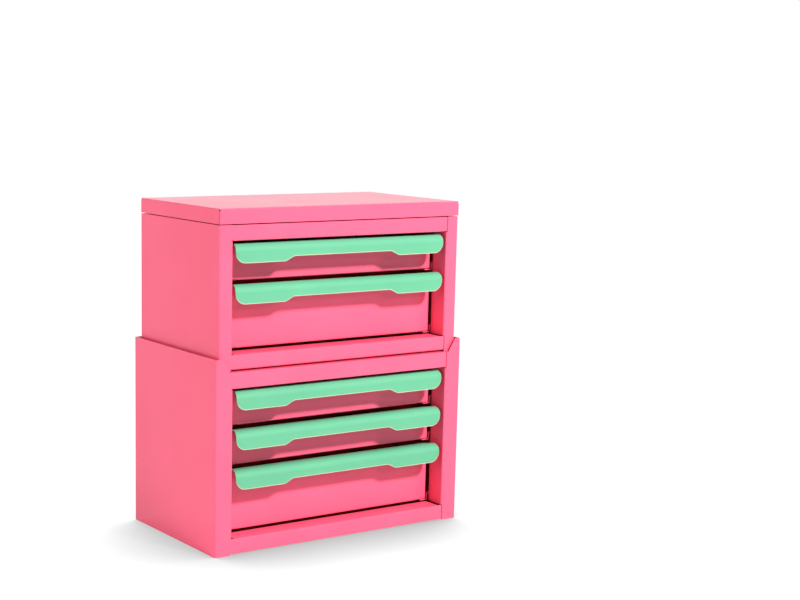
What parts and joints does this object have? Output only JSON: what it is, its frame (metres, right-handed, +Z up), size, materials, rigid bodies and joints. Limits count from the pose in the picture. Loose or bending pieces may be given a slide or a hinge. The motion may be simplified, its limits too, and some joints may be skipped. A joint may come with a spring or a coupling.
{
  "type": "desktop drawer organizer",
  "caption": "Stacked sheet-steel desktop cabinets with pull-out trays, each with a folded handle strip along its front, and a lift-off folded lid.",
  "frame": {"origin": "on the table, under the middle of the base cabinet's depth and width", "axes": "+X to the right seen from the front, +Y to the back, +Z up"},
  "size_m": [0.25, 0.139, 0.2845],
  "materials": {
    "pink_steel": "semi-gloss powder coat",
    "mint_steel": "semi-gloss powder coat",
    "rivet_steel": "plain zinc-plated"
  },
  "bodies": {
    "base_cabinet": {"base_side_left": "pink_steel", "base_side_right": "pink_steel", "base_back": "pink_steel", "base_bottom": "pink_steel", "base_top": "pink_steel", "base_runner_1_left": "pink_steel", "base_runner_1_right": "pink_steel", "base_runner_2_left": "pink_steel", "base_runner_2_right": "pink_steel", "base_runner_3_left": "pink_steel", "base_runner_3_right": "pink_steel"},
    "upper_cabinet": {"upper_side_left": "pink_steel", "upper_side_right": "pink_steel", "upper_back": "pink_steel", "upper_bottom": "pink_steel", "upper_top": "pink_steel", "upper_lid_rest_left": "pink_steel", "upper_lid_rest_right": "pink_steel", "upper_lid_rest_back": "pink_steel", "upper_runner_1_left": "pink_steel", "upper_runner_1_right": "pink_steel", "upper_runner_2_left": "pink_steel", "upper_runner_2_right": "pink_steel"},
    "lid": {"lid": "pink_steel"},
    "drawer_1": {"drawer_1_tray": "pink_steel", "drawer_1_handle": "mint_steel", "drawer_1_rivets": "rivet_steel"},
    "drawer_2": {"drawer_2_tray": "pink_steel", "drawer_2_handle": "mint_steel", "drawer_2_rivets": "rivet_steel"},
    "drawer_3": {"drawer_3_tray": "pink_steel", "drawer_3_handle": "mint_steel", "drawer_3_rivets": "rivet_steel"},
    "drawer_4": {"drawer_4_tray": "pink_steel", "drawer_4_handle": "mint_steel", "drawer_4_rivets": "rivet_steel"},
    "drawer_5": {"drawer_5_tray": "pink_steel", "drawer_5_handle": "mint_steel", "drawer_5_rivets": "rivet_steel"}
  },
  "joints": [
    {"name": "upper_lift", "type": "slide", "parent": "base_cabinet", "child": "upper_cabinet", "axis": [0, 0, 1], "range_m": [0, 0.04]},
    {"name": "lid_lift", "type": "slide", "parent": "upper_cabinet", "child": "lid", "axis": [0, 0, 1], "range_m": [0, 0.04]},
    {"name": "drawer_1_slide", "type": "slide", "parent": "upper_cabinet", "child": "drawer_1", "axis": [0, -1, 0], "range_m": [0, 0.085]},
    {"name": "drawer_2_slide", "type": "slide", "parent": "upper_cabinet", "child": "drawer_2", "axis": [0, -1, 0], "range_m": [0, 0.085]},
    {"name": "drawer_3_slide", "type": "slide", "parent": "base_cabinet", "child": "drawer_3", "axis": [0, -1, 0], "range_m": [0, 0.085]},
    {"name": "drawer_4_slide", "type": "slide", "parent": "base_cabinet", "child": "drawer_4", "axis": [0, -1, 0], "range_m": [0, 0.085]},
    {"name": "drawer_5_slide", "type": "slide", "parent": "base_cabinet", "child": "drawer_5", "axis": [0, -1, 0], "range_m": [0, 0.085]}
  ]
}
